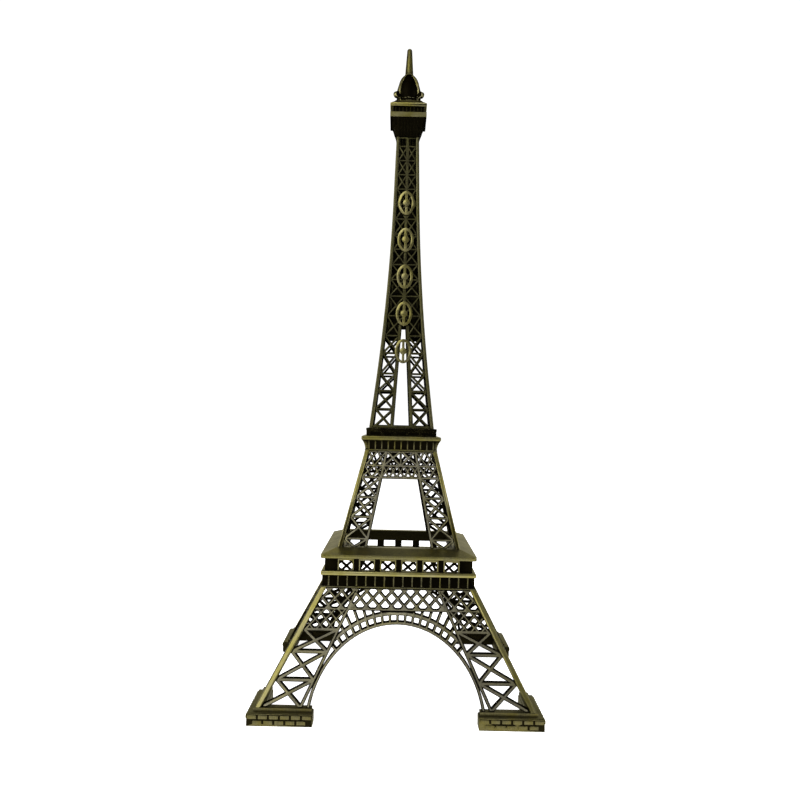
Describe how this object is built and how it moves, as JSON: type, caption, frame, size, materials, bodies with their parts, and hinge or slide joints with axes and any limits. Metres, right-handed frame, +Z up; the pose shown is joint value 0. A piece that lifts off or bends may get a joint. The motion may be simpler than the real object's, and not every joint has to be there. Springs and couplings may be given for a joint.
{
  "type": "miniature landmark model",
  "caption": "Miniature lattice tower for a shelf: four arched legs on brick-patterned feet, two ribbed decks, a tapering upper shaft with raised ornaments, a capital, a dome and a spire.",
  "frame": {"origin": "on the ground at the centre of the base", "axes": "+Z up along the tower, the face with the ornaments towards -Y, +X to its right as seen from in front"},
  "size_m": [0.1488, 0.1488, 0.38],
  "materials": {
    "rubbed_bronze": "antique bronze plating, rubbed back to brass on the raised faces",
    "lattice_bronze": "antique bronze plating, lightly rubbed on the front faces of the bars",
    "dark_bronze": "antique bronze plating, left dark in the recesses"
  },
  "bodies": {
    "root": {"arch_back": "lattice_bronze", "arch_front": "lattice_bronze", "arch_left": "lattice_bronze", "arch_right": "lattice_bronze", "balcony": "dark_bronze", "capital": "dark_bronze", "cornice_1": "rubbed_bronze", "deck_1": "rubbed_bronze", "deck_2": "rubbed_bronze", "dome": "dark_bronze", "foot_back_left": "rubbed_bronze", "foot_back_right": "rubbed_bronze", "foot_front_left": "rubbed_bronze", "foot_front_right": "rubbed_bronze", "frieze_1": "dark_bronze", "frieze_2": "dark_bronze", "gallery_1": "dark_bronze", "lower_panel_back": "lattice_bronze", "lower_panel_front": "lattice_bronze", "lower_panel_left": "lattice_bronze", "lower_panel_right": "lattice_bronze", "lower_rail_back_left": "rubbed_bronze", "lower_rail_back_right": "rubbed_bronze", "lower_rail_front_left": "rubbed_bronze", "lower_rail_front_right": "rubbed_bronze", "middle_panel_back": "lattice_bronze", "middle_panel_front": "lattice_bronze", "middle_panel_left": "lattice_bronze", "middle_panel_right": "lattice_bronze", "middle_rail_back_left": "rubbed_bronze", "middle_rail_back_right": "rubbed_bronze", "middle_rail_front_left": "rubbed_bronze", "middle_rail_front_right": "rubbed_bronze", "ornament_1": "rubbed_bronze", "ornament_2": "rubbed_bronze", "ornament_3": "rubbed_bronze", "ornament_4": "rubbed_bronze", "ornament_5": "rubbed_bronze", "parapet_2": "dark_bronze", "roof": "rubbed_bronze", "spire": "rubbed_bronze", "upper_panel_back": "lattice_bronze", "upper_panel_front": "lattice_bronze", "upper_panel_left": "lattice_bronze", "upper_panel_right": "lattice_bronze", "upper_rail_back_left": "rubbed_bronze", "upper_rail_back_right": "rubbed_bronze", "upper_rail_front_left": "rubbed_bronze", "upper_rail_front_right": "rubbed_bronze"}
  },
  "joints": []
}
